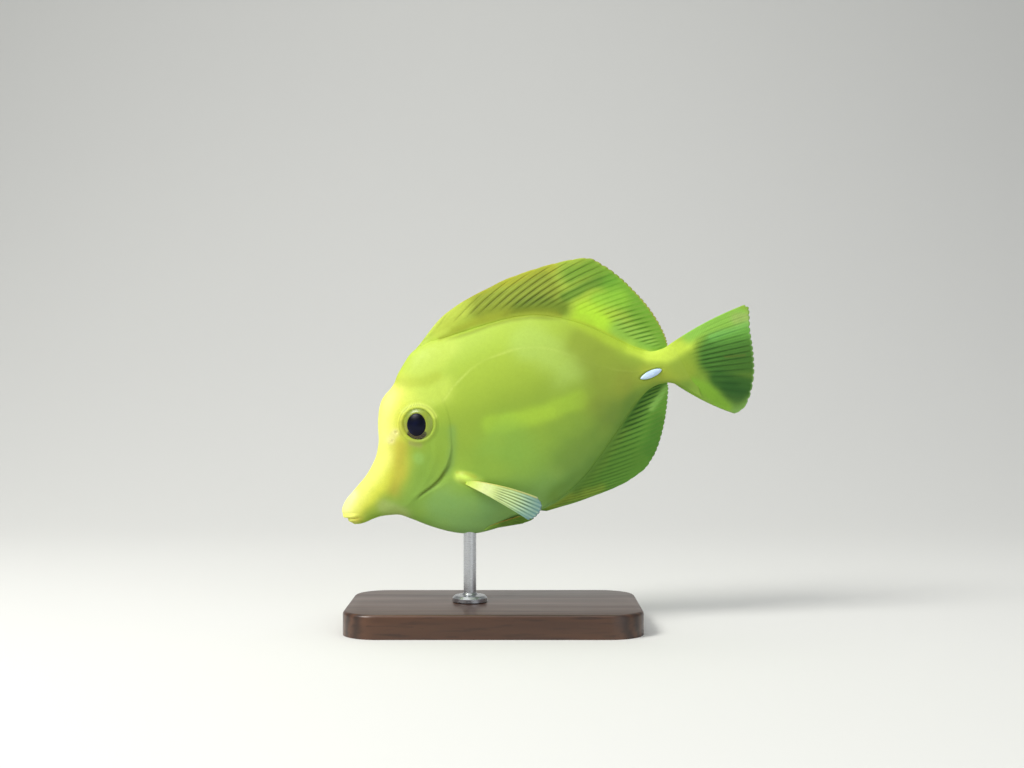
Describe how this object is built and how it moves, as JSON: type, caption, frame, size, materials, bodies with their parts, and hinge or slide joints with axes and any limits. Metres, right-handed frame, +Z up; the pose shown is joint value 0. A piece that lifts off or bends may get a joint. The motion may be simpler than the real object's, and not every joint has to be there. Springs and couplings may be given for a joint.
{
  "type": "yellow tang on a display stand",
  "caption": "Still life-size yellow tang, deep flat body, long snout, tall ribbed fins and a white blade on each side of the tail stalk, on a flat base with one rod.",
  "frame": {"origin": "middle of the flat underside of the stand's base, on the table", "axes": "+X along the stand's length, from the fish's head to its tail; +Y to the fish's right side; +Z up"},
  "size_m": [0.1428, 0.058, 0.1264],
  "materials": {
    "skin": "fine-scaled yellow skin, satin",
    "fin": "yellow-green ribbed fin membrane, satin",
    "pale_fin": "whitish ribbed fin membrane, satin",
    "iris": "pale yellow-green iris, wet gloss",
    "pupil": "near-black blue pupil, wet gloss",
    "spine": "white horny blade, satin",
    "wood": "dark stained wood, satin",
    "steel": "brushed"
  },
  "bodies": {
    "root": {"head": "skin", "trunk": "skin", "tail_stalk": "skin", "dorsal_fin": "fin", "anal_fin": "fin", "caudal_fin": "fin", "pectoral_fin_left": "pale_fin", "pectoral_fin_right": "pale_fin", "pelvic_fin_left": "fin", "pelvic_fin_right": "fin", "eye_left": "iris", "eye_right": "iris", "pupil_left": "pupil", "pupil_right": "pupil", "tail_spine_left": "spine", "tail_spine_right": "spine", "stand_base": "wood", "stand_rod": "steel"}
  },
  "joints": []
}
